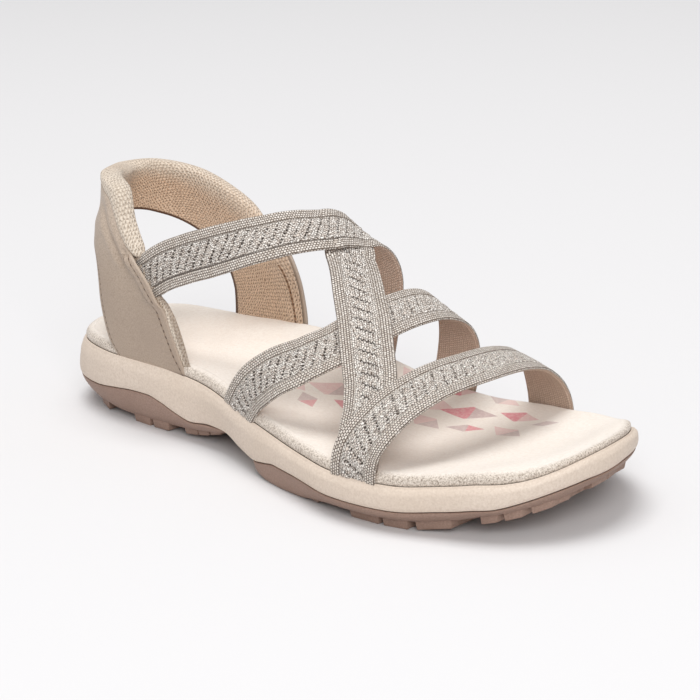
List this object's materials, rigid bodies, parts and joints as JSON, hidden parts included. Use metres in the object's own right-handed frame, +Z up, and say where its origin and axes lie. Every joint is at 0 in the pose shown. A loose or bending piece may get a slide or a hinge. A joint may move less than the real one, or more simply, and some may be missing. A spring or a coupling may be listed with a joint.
{
  "type": "cross strap sandal",
  "caption": "Flat women's sandal for the right foot with crossing elastic straps, a padded sling around the heel, a foam midsole and a lugged outsole.",
  "frame": {"origin": "bottom centre of the whole sandal, on the floor", "axes": "+X points to the toe, +Y to the inner side of the foot, +Z up"},
  "size_m": [0.256, 0.0996, 0.0928],
  "materials": {
    "outsole_rubber": "matt mauve brown moulded rubber",
    "midsole_foam": "fine grained cream foam",
    "footbed_suede": "off-white suede over foam, with small pale triangles",
    "strap_webbing": "greige ribbed elastic webbing with a pierced centre panel",
    "sling_leather": "smooth taupe synthetic leather, stitched edges",
    "lining_mesh": "cream and tan waffle mesh over soft foam"
  },
  "bodies": {
    "root": {"outsole": "outsole_rubber", "midsole": "midsole_foam", "footbed": "footbed_suede", "upper_straps": "strap_webbing", "sling_shell": "sling_leather", "sling_pad": "lining_mesh"}
  },
  "joints": []
}
